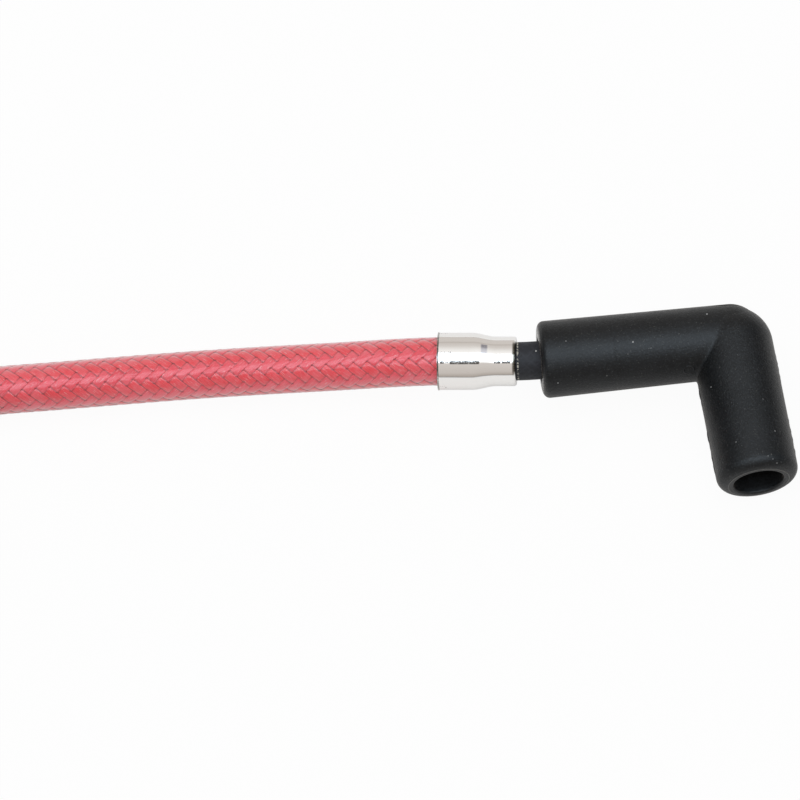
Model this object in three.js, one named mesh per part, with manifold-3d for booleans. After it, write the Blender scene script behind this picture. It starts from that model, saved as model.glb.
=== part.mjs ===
// Spark plug lead: a braided ignition wire with a right-angle plug boot at one end
// and a straight coil boot at the other. It lies on a table. Millimetres, +Z up.
import * as THREE from "three";
import { mergeVertices } from "three/addons/utils/BufferGeometryUtils.js";
import Module from "manifold-3d";

const wasm = await Module();
wasm.setup();

// Clearances and roundness
const fit = 0.3; // radial gap between a piece and what it sits in
const roundSides = 48;
const boreSides = 32;
const ferruleSides = 36;
const cordSides = 12;
const rolledSides = 32; // round a rolled sheet
const clipSides = 8;
const tieSides = 16;
const strapPoints = 17; // along a terminal's strap
const clipPoints = 31; // along a spring clip's wire
const bowPoints = 7; // along a spring clip's bow
const taperPoints = 6; // along a ferrule's taper
const cutOverrun = 1; // how far the tool for a bore or a slot passes the face it opens

// Wire and braided sleeve
const wireDiameter = 8;
const coreDiameter = 2.5;
const coreStickOut = 2.5; // bare core past the end of the insulation
const sleeveDiameter = 10;
const sleeveWall = 0.7;

// Plug boot: the wire leg lies along X and the plug leg runs to -Y
const legAngle = 92.8; // degrees between the two legs
const wireLegLength = 40.2; // elbow to end face
const wireLegEndDiameter = 16.1;
const wireLegRootDiameter = 15.6;
const wireLegEdge = 1.9; // rounding at the end face, measured across
const wireLegEdgeLength = 1.4; // the same rounding, measured along
const wireEntryFlare = 0.6; // how much wider the wire bore is at the end face
const wireEntryDepth = 1.4;
const plugLegLength = 32.6; // elbow to mouth
const plugLegDiameter = 17.1;
const elbowBack = 7.05; // elbow to the end that backs the plug leg
const elbowEnd = 6; // elbow to the domed end of the wire leg, inside the plug leg
const elbowRounding = 8.3;
const mouthRounding = 2.4;
const plugBoreDiameter = 10.4;
const plugBoreDepth = 13.5; // length of the bore that grips the plug's insulator
const mouthChamfer = 0.4;

// Stamped terminals
const sheet = 0.5;
const wireEndSetback = 6.5; // elbow to the cut end of the wire
const barrelLength = 10;
const barrelSeam = 1.4;
const barrelSetback = 0.6; // the barrel starts this far behind the wire's cut end
const wingGap = 1.8; // gap between the two pairs of crimp wings
const wingBand = 3.8; // length of the front pair of wings
const socketBore = 6.8; // takes the plug's terminal nut
const socketLength = 13;
const socketSeam = 0.9;
const strapWidth = 4;
const strapOverlap = 1.2;
const plugStrapStraight = 7; // how far the strap runs straight at each end
const coilStrapStraight = 2;
const windowCut = 0.35; // the wing gap ends at this share of the barrel's radius, towards its floor
const clipWire = 0.8;
const clipReach = 2.75; // centre of each clip leg from the socket's axis
const clipFromMouth = 4; // clip to the socket's open end

// Ferrules over the sleeve's two ends
const ferruleLength = 16.3;
const ferruleLargeDiameter = 11.9;
const ferruleSmallDiameter = 10.3;
const ferruleLargeLength = 8;
const ferruleTaper = 3.4;
const ferruleLip = 0.6;
const ferruleRim = 0.3;
const exposedWire = 5; // black wire between a ferrule and its boot
const plugFerruleHeading = 10.6; // degrees the wire swings away as it leaves the plug boot
const plugFerruleDrop = 3.5; // degrees it falls
const coilFerruleRise = 4.5; // degrees it climbs to the coil boot

// Coil boot
const coilWireLegDiameter = 16.3;
const coilWireLegLength = 24;
const coilFlareLength = 7;
const coilSocketDiameter = 20.4;
const coilSocketLength = 29;
const coilMouthRounding = 1.6;
const coilMouthBore = 14;
const coilMouthDepth = 18;
const coilTerminalBridge = 5; // wire's cut end to the back of the straight terminal's socket

// Tie round the two runs of the folded lead
const tieThickness = 1;
const tieWidth = 8;
const tieFromNeck = 9; // from the near end of the straight neck

// The cord's free route, laid by hand. x and y are measured from the plug ferrule's
// large end, and z from the table. The last point is where the lead has come back.
const laidRoute = [
  [-8, 1.15, 6.9],
  [-20, 2.65, 6.0],
  [-34.5, 4.3, 5.4],
  [-49, 5.7, 5.1],
  [-64, 6.8, 5.05],
  [-78.5, 7.75, 5.05],
  [-93, 8.7, 5.05],
  [-109, 8.9, 5.05],
  [-130, 6.5, 5.05],
  [-151, 1.3, 5.05],
  [-172, -4.3, 5.2],
  [-190, -8.6, 5.9],
  [-207, -10.1, 6.4],
  [-225, -10.1, 6.4],
  [-241.8, -6.4, 5.9],
  [-255.5, 4, 5.2],
  [-268.8, 13, 5.05],
  [-284.8, 13.9, 5.05],
  [-299, 6.4, 5.05],
  [-307.3, -7.4, 5.05],
  [-307.3, -23.4, 5.05],
  [-299, -37.2, 5.05],
  [-284.8, -44.7, 5.05],
  [-268.8, -43.8, 5.05],
  [-255.5, -34.8, 5.2],
  [-241.8, -24.4, 5.9],
  [-225, -20.7, 6.4],
  [-207, -20.7, 6.4],
];
const freePoints = 12; // points of the route before the tied neck
const coilApproach = 20.5; // end of the laid route to the coil ferrule

// Sizes that follow from the ones above
const wireRadius = wireDiameter / 2;
const sleeveRadius = sleeveDiameter / 2;
const sleeveBoreRadius = sleeveRadius - sleeveWall;
const wireBoreRadius = wireRadius + fit;
const barrelRadius = wireRadius + fit + sheet / 2;
const socketRadius = (socketBore + sheet) / 2;
const chamberRadius = Math.hypot(barrelRadius + sheet / 2, strapWidth / 2) + fit;
const plugBoreRadius = plugBoreDiameter / 2;
const elbowHeight = plugLegDiameter / 2; // the plug leg lies on the table
const coilHeight = coilSocketDiameter / 2;
const coilBootLength = coilWireLegLength + coilFlareLength + coilSocketLength;
const socketMouth = plugLegLength - plugBoreDepth; // elbow to the plug socket's open end

const degrees = Math.PI / 180;
const up = new THREE.Vector3(0, 0, 1);
const elbow = new THREE.Vector3(0, 0, elbowHeight);
const lean = (legAngle - 90) * degrees;
const toWire = new THREE.Vector3(-Math.cos(lean), Math.sin(lean), 0);
const toPlug = new THREE.Vector3(0, -1, 0);

// Point reached from a start along one direction, then along another.
function reach(start, direction, distance, side = up, offset = 0) {
  return start.clone().addScaledVector(direction, distance).addScaledVector(side, offset);
}

// Manifold solid of a closed geometry.
function solid(geometry) {
  const bare = geometry.clone();
  bare.deleteAttribute("normal");
  bare.deleteAttribute("uv");
  const merged = mergeVertices(bare, 1e-4);
  return new wasm.Manifold(
    new wasm.Mesh({
      numProp: 3,
      vertProperties: merged.attributes.position.array,
      triVerts: new Uint32Array(merged.index.array),
    }),
  );
}

function joined(first, ...others) {
  return others.reduce((body, other) => body.add(other), first);
}

function cut(body, ...tools) {
  return tools.reduce((left, tool) => left.subtract(tool), body);
}

// Geometry of a manifold solid.
function geometryOf(body) {
  const { numProp, vertProperties, triVerts } = body.getMesh();
  const positions = new Float32Array((vertProperties.length / numProp) * 3);
  for (let i = 0; i < positions.length / 3; i++) {
    positions.set(vertProperties.subarray(i * numProp, i * numProp + 3), i * 3);
  }
  const geometry = new THREE.BufferGeometry();
  geometry.setAttribute("position", new THREE.BufferAttribute(positions, 3));
  geometry.setIndex(new THREE.BufferAttribute(new Uint32Array(triVerts), 1));
  geometry.computeVertexNormals();
  return geometry;
}

// Turned shape: profile points are [distance along the axis, radius].
function turned(profile, start, direction, sides = roundSides) {
  const points = profile.map(([along, radius]) => new THREE.Vector2(radius, along));
  const geometry = new THREE.LatheGeometry(points, sides);
  geometry.applyQuaternion(
    new THREE.Quaternion().setFromUnitVectors(new THREE.Vector3(0, 1, 0), direction),
  );
  geometry.translate(start.x, start.y, start.z);
  return geometry;
}

// Quarter round for a turned profile, from one angle to another about a centre.
function arc(along, radius, alongSize, radiusSize, from, to, steps = 6) {
  return Array.from({ length: steps + 1 }, (_, i) => {
    const angle = (from + ((to - from) * i) / steps) * degrees;
    return [along + alongSize * Math.cos(angle), radius + radiusSize * Math.sin(angle)];
  });
}

// Frame whose z runs along a direction and whose x points to a side.
function frameAt(start, along, side) {
  const across = new THREE.Vector3().crossVectors(along, side);
  return new THREE.Matrix4().makeBasis(side, across, along).setPosition(start);
}

function box(low, high) {
  const size = high.map((value, i) => value - low[i]);
  const middle = high.map((value, i) => (value + low[i]) / 2);
  return new THREE.BoxGeometry(...size).translate(...middle);
}

// Sheet rolled into an open tube, with its seam opposite +x.
function rolled(middleRadius, length, seam) {
  const half = Math.PI - seam / 2 / middleRadius;
  const shape = new THREE.Shape();
  shape.absarc(0, 0, middleRadius + sheet / 2, -half, half, false);
  shape.absarc(0, 0, middleRadius - sheet / 2, half, -half, true);
  return new THREE.ExtrudeGeometry(shape, {
    depth: length,
    bevelEnabled: false,
    curveSegments: rolledSides / 2,
  });
}

// Flat strip of sheet metal standing on edge, bent along a curve in the plan.
function bentStrip(curve, width, height) {
  const points = curve.getPoints(strapPoints - 1);
  const sides = points.map((_, i) => {
    const before = points[Math.max(i - 1, 0)];
    const after = points[Math.min(i + 1, points.length - 1)];
    const way = after.clone().sub(before).normalize();
    return new THREE.Vector2(-way.y, way.x).multiplyScalar(sheet / 2);
  });
  const left = points.map((point, i) => point.clone().add(sides[i]));
  const right = points.map((point, i) => point.clone().sub(sides[i])).reverse();
  const strip = new THREE.ExtrudeGeometry(new THREE.Shape([...left, ...right]), {
    depth: width,
    bevelEnabled: false,
  });
  return strip.translate(0, 0, height - width / 2);
}

// Crimp barrel: its wings close over the wire, opposite its floor at +x.
function barrel() {
  const outside = barrelRadius + sheet;
  const window = box(
    [-outside, -outside, wingBand],
    [barrelRadius * windowCut, outside, wingBand + wingGap],
  );
  return cut(solid(rolled(barrelRadius, barrelLength, barrelSeam)), solid(window));
}

// Socket for the plug's nut, with two cross slots for the spring clip. It starts at its back.
function socket() {
  const slotHalf = clipWire / 2 + fit;
  const clipAt = socketLength - clipFromMouth;
  const slotDepth = clipReach - slotHalf;
  const slotReach = Math.sqrt((socketRadius + sheet) ** 2 - slotDepth ** 2) + fit;
  const slots = [-1, 1].map((side) => {
    const near = side * slotDepth;
    const far = side * (socketRadius + cutOverrun);
    return solid(
      box(
        [-slotReach, Math.min(near, far), clipAt - slotHalf],
        [slotReach, Math.max(near, far), clipAt + slotHalf],
      ),
    );
  });
  return cut(solid(rolled(socketRadius, socketLength, socketSeam)), ...slots);
}

// One stamped piece: barrel, strap and socket. Each end is a start, a direction away from the
// bend and the side that its floor is on.
function terminal(barrelEnd, socketEnd, strapStraight) {
  const barrelFrame = frameAt(barrelEnd.start, barrelEnd.along, barrelEnd.floor);
  const socketFrame = frameAt(socketEnd.start, socketEnd.along, socketEnd.floor);
  const first = reach(barrelEnd.start, barrelEnd.along, strapOverlap, barrelEnd.floor, barrelRadius);
  const last = reach(socketEnd.start, socketEnd.along, strapOverlap, socketEnd.floor, socketRadius);
  const stops = [
    first,
    reach(first, barrelEnd.along, -strapStraight),
    reach(last, socketEnd.along, -strapStraight),
    last,
  ];
  const flat = stops.map((point) => new THREE.Vector2(point.x, point.y));
  const strap = bentStrip(new THREE.CubicBezierCurve(...flat), strapWidth, barrelEnd.start.z);
  return joined(
    solid(geometryOf(barrel()).applyMatrix4(barrelFrame)),
    solid(strap),
    solid(geometryOf(socket()).applyMatrix4(socketFrame)),
  );
}

// Spring clip: two straight legs through the socket's slots, joined by a bow behind its seam.
function springClip(socketEnd) {
  const bowRadius = socketRadius + sheet / 2 + fit + clipWire / 2;
  const bowHalf = Math.asin(clipReach / bowRadius);
  const legStart = Math.sqrt(bowRadius ** 2 - clipReach ** 2);
  const leg = [1, 0.6, 0.2, -0.2, -0.6].map((share) => [share * legStart, clipReach]);
  const bow = Array.from({ length: bowPoints }, (_, i) => {
    const angle = Math.PI - bowHalf + (2 * bowHalf * i) / (bowPoints - 1);
    return [bowRadius * Math.cos(angle), bowRadius * Math.sin(angle)];
  });
  const otherLeg = leg.map(([x, y]) => [x, -y]).reverse();
  const path = new THREE.CatmullRomCurve3(
    [...leg, ...bow, ...otherLeg].map(([x, y]) => new THREE.Vector3(x, y, 0)),
  );
  const section = new THREE.Shape().absarc(0, 0, clipWire / 2, 0, 2 * Math.PI);
  const wire = new THREE.ExtrudeGeometry(section, {
    steps: clipPoints - 1,
    curveSegments: clipSides / 2,
    extrudePath: path,
  });
  const clipAt = socketLength - clipFromMouth;
  const place = reach(socketEnd.start, socketEnd.along, clipAt);
  return wire.applyMatrix4(frameAt(place, socketEnd.along, socketEnd.floor));
}

// Ferrule from its small end, at the start, to its large end.
function ferrule(start, direction) {
  const small = ferruleSmallDiameter / 2;
  const large = ferruleLargeDiameter / 2;
  const taperEnd = ferruleLength - ferruleLargeLength;
  const taperStart = taperEnd - ferruleTaper;
  const shoulder = taperEnd + fit;
  const taper = Array.from({ length: taperPoints }, (_, i) => {
    const share = i / (taperPoints - 1);
    const ease = share * share * (3 - 2 * share);
    return [taperStart + share * ferruleTaper, small + (large - small) * ease];
  });
  const innerSmall = wireRadius + fit;
  const innerLarge = sleeveRadius + fit;
  const wallMiddle = (small + innerSmall) / 2;
  return turned(
    [
      ...arc(ferruleLip, wallMiddle, ferruleLip, small - wallMiddle, 270, 90),
      ...taper,
      [ferruleLength - ferruleRim, large],
      [ferruleLength, large + ferruleRim / 2],
      [ferruleLength, innerLarge],
      [shoulder, innerLarge],
      [shoulder, innerSmall],
      [ferruleLip, innerSmall],
    ],
    start,
    direction,
    ferruleSides,
  );
}

// The cord's route through given points, which also says where its rings stand.
class RingRoute extends THREE.CatmullRomCurve3 {
  getPointAt(share, target) {
    return this.getPoint(share, target);
  }
  getTangentAt(share, target) {
    return this.getTangent(share, target);
  }
}

// Tube through the route's points, with a bore where one is given.
function tube(points, radius, boreRadius = 0) {
  const section = new THREE.Shape().absarc(0, 0, radius, 0, 2 * Math.PI);
  if (boreRadius) section.holes.push(new THREE.Path().absarc(0, 0, boreRadius, 0, 2 * Math.PI));
  return new THREE.ExtrudeGeometry(section, {
    steps: points.length - 1,
    curveSegments: cordSides / 2,
    extrudePath: new RingRoute(points),
  });
}

function plugBootBody() {
  const end = wireLegEndDiameter / 2;
  const root = wireLegRootDiameter / 2;
  const plug = plugLegDiameter / 2;
  const edge = wireLegLength - wireLegEdgeLength;
  const rim = plugLegLength - mouthRounding;
  const back = elbowRounding - elbowBack;
  const wireLeg = turned(
    [
      ...arc(0, 0, elbowEnd, root, 180, 90, 8),
      ...arc(edge, end - wireLegEdge, wireLegEdgeLength, wireLegEdge, 90, 0),
      [wireLegLength, 0],
    ],
    elbow,
    toWire,
  );
  const plugLeg = turned(
    [
      [-elbowBack, 0],
      ...arc(back, plug - elbowRounding, elbowRounding, elbowRounding, 180, 90, 10),
      ...arc(rim, plug - mouthRounding, mouthRounding, mouthRounding, 90, 0),
      [plugLegLength, 0],
    ],
    elbow,
    toPlug,
  );
  return joined(solid(wireLeg), solid(plugLeg));
}

// Bore along a leg, from the bend out past its end, with a wider mouth.
function bore(profile, start, direction) {
  return solid(turned(profile, start, direction, boreSides));
}

function plugBoot() {
  const wireWayEnd = wireLegLength + cutOverrun;
  const plugWayEnd = plugLegLength + cutOverrun;
  const barrelBack = wireEndSetback + barrelSetback + barrelLength + fit;
  const wirePassage = bore(
    [
      [0, 0],
      [0, chamberRadius],
      [barrelBack, chamberRadius],
      [barrelBack, wireBoreRadius],
      [wireLegLength - wireEntryDepth, wireBoreRadius],
      [wireLegLength, wireBoreRadius + wireEntryFlare],
      [wireWayEnd, wireBoreRadius + wireEntryFlare],
      [wireWayEnd, 0],
    ],
    elbow,
    toWire,
  );
  const plugPassage = bore(
    [
      [-chamberRadius, 0],
      ...arc(0, 0, chamberRadius, chamberRadius, 180, 90, 8).slice(1),
      [socketMouth, chamberRadius],
      [socketMouth, plugBoreRadius],
      [plugLegLength - mouthChamfer, plugBoreRadius],
      [plugLegLength, plugBoreRadius + mouthChamfer],
      [plugWayEnd, plugBoreRadius + mouthChamfer],
      [plugWayEnd, 0],
    ],
    elbow,
    toPlug,
  );
  return cut(plugBootBody(), wirePassage, plugPassage);
}

// Straight boot from its wire end, at the start, to its open mouth.
function coilBoot(start, direction) {
  const thin = coilWireLegDiameter / 2;
  const wide = coilSocketDiameter / 2;
  const flareEnd = coilWireLegLength + coilFlareLength;
  const rim = coilBootLength - coilMouthRounding;
  const outside = turned(
    [
      [0, 0],
      ...arc(wireLegEdgeLength, thin - wireLegEdge, wireLegEdgeLength, wireLegEdge, 180, 90),
      [coilWireLegLength, thin],
      [(coilWireLegLength + flareEnd) / 2, (thin + wide) / 2],
      [flareEnd, wide],
      ...arc(rim, wide - coilMouthRounding, coilMouthRounding, coilMouthRounding, 90, 0),
      [coilBootLength, 0],
    ],
    start,
    direction,
  );
  const shoulder = coilBootLength - coilMouthDepth;
  const barrelBack = coilWireEnd - barrelSetback - barrelLength - fit;
  const inside = bore(
    [
      [-cutOverrun, 0],
      [-cutOverrun, wireBoreRadius + wireEntryFlare],
      [0, wireBoreRadius + wireEntryFlare],
      [wireEntryDepth, wireBoreRadius],
      [barrelBack, wireBoreRadius],
      [barrelBack, chamberRadius],
      [shoulder, chamberRadius],
      [shoulder, coilMouthBore / 2],
      [coilBootLength + cutOverrun, coilMouthBore / 2],
      [coilBootLength + cutOverrun, 0],
    ],
    start,
    direction,
  );
  return cut(solid(outside), inside);
}

// Band round the two runs side by side.
function tieBand(middle, spacing) {
  const stadium = (radius) => {
    const shape = new THREE.Shape();
    shape.absarc(spacing / 2, 0, radius, -Math.PI / 2, Math.PI / 2, false);
    shape.absarc(-spacing / 2, 0, radius, Math.PI / 2, (3 * Math.PI) / 2, false);
    shape.closePath();
    return shape;
  };
  const band = stadium(sleeveRadius + fit + tieThickness);
  band.holes.push(stadium(sleeveRadius + fit));
  const geometry = new THREE.ExtrudeGeometry(band, {
    depth: tieWidth,
    bevelEnabled: false,
    curveSegments: tieSides / 2,
  });
  geometry.translate(0, 0, -tieWidth / 2);
  const along = new THREE.Vector3(1, 0, 0);
  return geometry.applyMatrix4(frameAt(middle, along, new THREE.Vector3(0, 1, 0)));
}

// Where the pieces on the cord stand
const wireFace = reach(elbow, toWire, wireLegLength);
const plugHeading = new THREE.Vector3(
  -Math.cos(plugFerruleHeading * degrees),
  Math.sin(plugFerruleHeading * degrees),
  -Math.tan(plugFerruleDrop * degrees),
).normalize();
const wireExit = plugHeading.clone().add(toWire).normalize();
const plugFerruleSmall = reach(wireFace, wireExit, exposedWire);
const plugFerruleLarge = reach(plugFerruleSmall, plugHeading, ferruleLength);
const laid = laidRoute.map(
  ([x, y, z]) => new THREE.Vector3(plugFerruleLarge.x + x, plugFerruleLarge.y + y, z),
);
const lastLaid = laid[laid.length - 1];
const coilRise = new THREE.Vector3(
  Math.cos(coilFerruleRise * degrees),
  0,
  Math.sin(coilFerruleRise * degrees),
);
const toCoil = new THREE.Vector3(1, 0, 0);
const coilRun = coilApproach + ferruleLength * coilRise.x + exposedWire;
const coilFace = new THREE.Vector3(lastLaid.x + coilRun, lastLaid.y, coilHeight);
const coilExit = coilRise.clone().add(toCoil).normalize();
const coilFerruleSmall = reach(coilFace, coilExit, -exposedWire);
const coilFerruleLarge = reach(coilFerruleSmall, coilRise, -ferruleLength);

// How deep each wire end sits, and the sleeve's ends inside the ferrules
const sleeveInset = ferruleLargeLength - 2 * fit;
const coilSocketBack = coilBootLength - coilMouthDepth - socketLength;
const coilWireEnd = coilSocketBack - coilTerminalBridge;
const plugWireEnd = reach(elbow, toWire, wireEndSetback);
const coilWireTip = reach(coilFace, toCoil, coilWireEnd);
const sleeveStart = reach(plugFerruleLarge, plugHeading, -sleeveInset);
const sleeveStop = reach(coilFerruleLarge, coilRise, sleeveInset);

const sleevePoints = [sleeveStart, plugFerruleLarge, ...laid, coilFerruleLarge, sleeveStop];
const wirePoints = [
  plugWireEnd,
  wireFace,
  plugFerruleSmall,
  ...sleevePoints,
  coilFerruleSmall,
  coilFace,
  coilWireTip,
];
const corePoints = [
  reach(plugWireEnd, toWire, -coreStickOut),
  ...wirePoints.slice(1, -1),
  reach(coilWireTip, toCoil, coreStickOut),
];

const plugBarrelEnd = {
  start: reach(plugWireEnd, toWire, barrelSetback),
  along: toWire,
  floor: new THREE.Vector3(Math.sin(lean), Math.cos(lean), 0),
};
const plugSocketEnd = {
  start: reach(elbow, toPlug, socketMouth - socketLength),
  along: toPlug,
  floor: new THREE.Vector3(1, 0, 0),
};
const coilBarrelEnd = {
  start: reach(coilWireTip, toCoil, -barrelSetback),
  along: toCoil.clone().negate(),
  floor: new THREE.Vector3(0, 1, 0),
};
const coilSocketEnd = {
  start: reach(coilFace, toCoil, coilSocketBack),
  along: toCoil,
  floor: new THREE.Vector3(0, 1, 0),
};

// Materials
function material(color, roughness, metalness) {
  return new THREE.MeshStandardMaterial({ color, roughness, metalness });
}
const finishes = {
  boot: () => material(0x2e3033, 0.72, 0),
  wire: () => material(0x33343a, 0.6, 0),
  sleeve: () => material(0xd8505f, 0.35, 0.6),
  chrome: () => material(0xdedad4, 0.12, 1),
  stamped: () => material(0xb9b3a6, 0.35, 1),
  spring: () => material(0xa9adb2, 0.3, 1),
  core: () => material(0x3a3632, 0.8, 0),
  tie: () => material(0x222326, 0.6, 0),
};

function piece(name, geometry, finish) {
  const mesh = new THREE.Mesh(geometry, finishes[finish]());
  mesh.name = name;
  return mesh;
}

const plugEnd = new THREE.Group();
plugEnd.add(
  piece("plug_boot", geometryOf(plugBoot()), "boot"),
  piece("plug_terminal", geometryOf(terminal(plugBarrelEnd, plugSocketEnd, plugStrapStraight)), "stamped"),
  piece("plug_terminal_clip", springClip(plugSocketEnd), "spring"),
);

const lead = new THREE.Group();
lead.add(
  piece("conductor_core", tube(corePoints, coreDiameter / 2), "core"),
  piece("ignition_wire", tube(wirePoints, wireRadius, coreDiameter / 2 + fit), "wire"),
  piece("braided_sleeve", tube(sleevePoints, sleeveRadius, sleeveBoreRadius), "sleeve"),
  piece("plug_end_ferrule", ferrule(plugFerruleSmall, plugHeading), "chrome"),
  piece("coil_end_ferrule", ferrule(coilFerruleSmall, coilRise.clone().negate()), "chrome"),
);

const tieMiddle = laid[freePoints].clone().add(lastLaid).multiplyScalar(0.5);
tieMiddle.x -= tieFromNeck;
const tieSpacing = laid[freePoints].distanceTo(lastLaid);

const coilEnd = new THREE.Group();
coilEnd.add(
  piece("coil_boot", geometryOf(coilBoot(coilFace, toCoil)), "boot"),
  piece("coil_terminal", geometryOf(terminal(coilBarrelEnd, coilSocketEnd, coilStrapStraight)), "stamped"),
  piece("coil_terminal_clip", springClip(coilSocketEnd), "spring"),
  piece("hank_tie", tieBand(tieMiddle, tieSpacing), "tie"),
);

// The origin is under the middle of the plug boot, on the table.
const laidOut = new THREE.Group();
laidOut.add(plugEnd, lead, coilEnd);
const bootBox = new THREE.Box3().setFromObject(plugEnd, true);
const bootMiddle = bootBox.getCenter(new THREE.Vector3());
laidOut.position.set(-bootMiddle.x, -bootMiddle.y, -bootBox.min.z);

const group = new THREE.Group();
group.name = "spark_plug_lead";
group.add(laidOut);

export default group;
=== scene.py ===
# Spark plug lead in a red braided sleeve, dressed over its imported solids.
# Blender works in metres, and the sizes below are millimetres unless a note says otherwise.
import math
import random

import bmesh
import bpy
import numpy as np
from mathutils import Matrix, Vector


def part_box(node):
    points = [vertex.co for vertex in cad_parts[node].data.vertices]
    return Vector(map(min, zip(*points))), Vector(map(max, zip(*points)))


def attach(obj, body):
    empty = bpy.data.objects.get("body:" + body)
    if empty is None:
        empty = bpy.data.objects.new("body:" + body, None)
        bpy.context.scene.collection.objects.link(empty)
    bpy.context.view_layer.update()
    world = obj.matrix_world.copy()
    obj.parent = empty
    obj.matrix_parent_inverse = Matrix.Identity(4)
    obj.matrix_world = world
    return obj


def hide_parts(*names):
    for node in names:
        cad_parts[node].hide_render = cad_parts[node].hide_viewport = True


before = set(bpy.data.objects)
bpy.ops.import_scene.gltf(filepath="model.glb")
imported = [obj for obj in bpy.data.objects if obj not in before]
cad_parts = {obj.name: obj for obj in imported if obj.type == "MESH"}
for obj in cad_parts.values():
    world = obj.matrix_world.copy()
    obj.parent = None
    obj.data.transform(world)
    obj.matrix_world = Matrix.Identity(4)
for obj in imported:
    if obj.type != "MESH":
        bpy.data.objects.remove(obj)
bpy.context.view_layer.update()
mm = 0.001
scene = bpy.context.scene
scene.view_settings.view_transform = "Standard"
print("frame loaded:", len(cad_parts), "nodes")


def unit(way):
    way = np.array(way, float)
    return way / np.linalg.norm(way)


def turnedBy(angle):  # cosine and sine of an angle in degrees
    return math.cos(math.radians(angle)), math.sin(math.radians(angle))


# where things stand, as the solids have them
plugBoot = {
    "legAngle": 92.8,
    "wireLegLength": 40.2,
    "wireLegEndDiameter": 16.1,
    "wireLegRootDiameter": 15.4,  # a little slimmer than the solid's
    "wireLegEdge": (1.4, 1.9),  # rounding of the end face, along and across
    "wireLegRise": 0.35,  # how far its root stands above the bend
    "plugLegLength": 32.6,
    "plugLegDiameter": 17.1,
    "elbowBack": 7.05,  # from the bend to the end that backs the plug leg
    "elbowEnd": 7,  # from the bend to the domed end of the wire leg, fuller than the solid's
    "elbowRounding": 8.3,
    "mouthRounding": 2.4,
    "mouthBore": 10.4,
    "mouthBoreDepth": 13.5,
    "mouthBoreEdge": 0.55,
    "chamber": 11,
    "chamberEnd": 17.4,
    "wireBore": 8.6,
    "wireBoreFlare": 0.6,
    "wireBoreFlareDepth": 1.4,
    "voxel": 0.28,
    "smoothing": 5,
}
boxLow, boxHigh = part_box("plug_boot")
bend = np.array([
    boxHigh.x / mm - plugBoot["plugLegDiameter"] / 2,
    boxLow.y / mm + plugBoot["plugLegLength"],
    plugBoot["plugLegDiameter"] / 2,
])
leanCos, leanSin = turnedBy(plugBoot["legAngle"] - 90)
toWire = np.array([-leanCos, leanSin, 0])
toPlug = np.array([0, -1, 0])
toCoil = np.array([1, 0, 0])


# camera
view = {
    "turn": 8.92,  # degrees about the vertical
    "elevation": 65,
    "right": -68.98,  # middle of the picture from the bend
    "up": -12.17,
    "distance": 1388.9,
    "lens": 300,
    "sensor": 36,
    "picture": 800,  # pixels each way
}
turnCos, turnSin = turnedBy(view["turn"])
tiltCos, tiltSin = turnedBy(view["elevation"])
cameraRight = np.array([turnCos, -turnSin, 0])
cameraAhead = np.array([turnSin * tiltCos, turnCos * tiltCos, -tiltSin])
cameraUp = np.array([turnSin * tiltSin, turnCos * tiltSin, tiltCos])
aim = bend + view["right"] * cameraRight + view["up"] * cameraUp
eye = aim - view["distance"] * cameraAhead
lens = bpy.data.cameras.new("camera")
lens.lens = view["lens"]
lens.sensor_width = view["sensor"]
lens.clip_start, lens.clip_end = 0.05, 20
camera = bpy.data.objects.new("camera", lens)
scene.collection.objects.link(camera)
camera.location = Vector(eye * mm)
camera.rotation_euler = Vector(cameraAhead).to_track_quat("-Z", "Y").to_euler()
scene.camera = camera


def sightLine(across, down):  # direction from the eye through a pixel of the picture
    size = view["sensor"] / view["lens"] / view["picture"]
    half = view["picture"] / 2
    return unit(cameraAhead + (across - half) * size * cameraRight + (half - down) * size * cameraUp)


print("camera set")


# the lead's route, point for point as in the part's source
lead = {
    "wireDiameter": 8,
    "coreHole": 3.1,
    "sleeveDiameter": 10,
    "exposedWire": 5,
    "ferruleLength": 16.3,
    "sleeveInset": 7.4,
    "plugHeading": 10.6,
    "plugDrop": 3.5,
    "coilRise": 4.5,
    "coilApproach": 20.5,
    "coilHeight": 10.2,
    "coilWireEnd": 24,
    "plugWireEnd": 6.5,
    "laid": [
        (-8, 1.15, 6.9),
        (-20, 2.65, 6.0),
        (-34.5, 4.3, 5.4),
        (-49, 5.7, 5.1),
        (-64, 6.8, 5.05),
        (-78.5, 7.75, 5.05),
        (-93, 8.7, 5.05),
        (-109, 8.9, 5.05),
        (-130, 6.5, 5.05),
        (-151, 1.3, 5.05),
        (-172, -4.3, 5.2),
        (-190, -8.6, 5.9),
        (-207, -10.1, 6.4),
        (-225, -10.1, 6.4),
        (-241.8, -6.4, 5.9),
        (-255.5, 4, 5.2),
        (-268.8, 13, 5.05),
        (-284.8, 13.9, 5.05),
        (-299, 6.4, 5.05),
        (-307.3, -7.4, 5.05),
        (-307.3, -23.4, 5.05),
        (-299, -37.2, 5.05),
        (-284.8, -44.7, 5.05),
        (-268.8, -43.8, 5.05),
        (-255.5, -34.8, 5.2),
        (-241.8, -24.4, 5.9),
        (-225, -20.7, 6.4),
        (-207, -20.7, 6.4),
    ],
}
headingCos, headingSin = turnedBy(lead["plugHeading"])
plugHeading = unit([-headingCos, headingSin, -math.tan(math.radians(lead["plugDrop"]))])
riseCos, riseSin = turnedBy(lead["coilRise"])
coilRise = np.array([riseCos, 0, riseSin])

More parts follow.
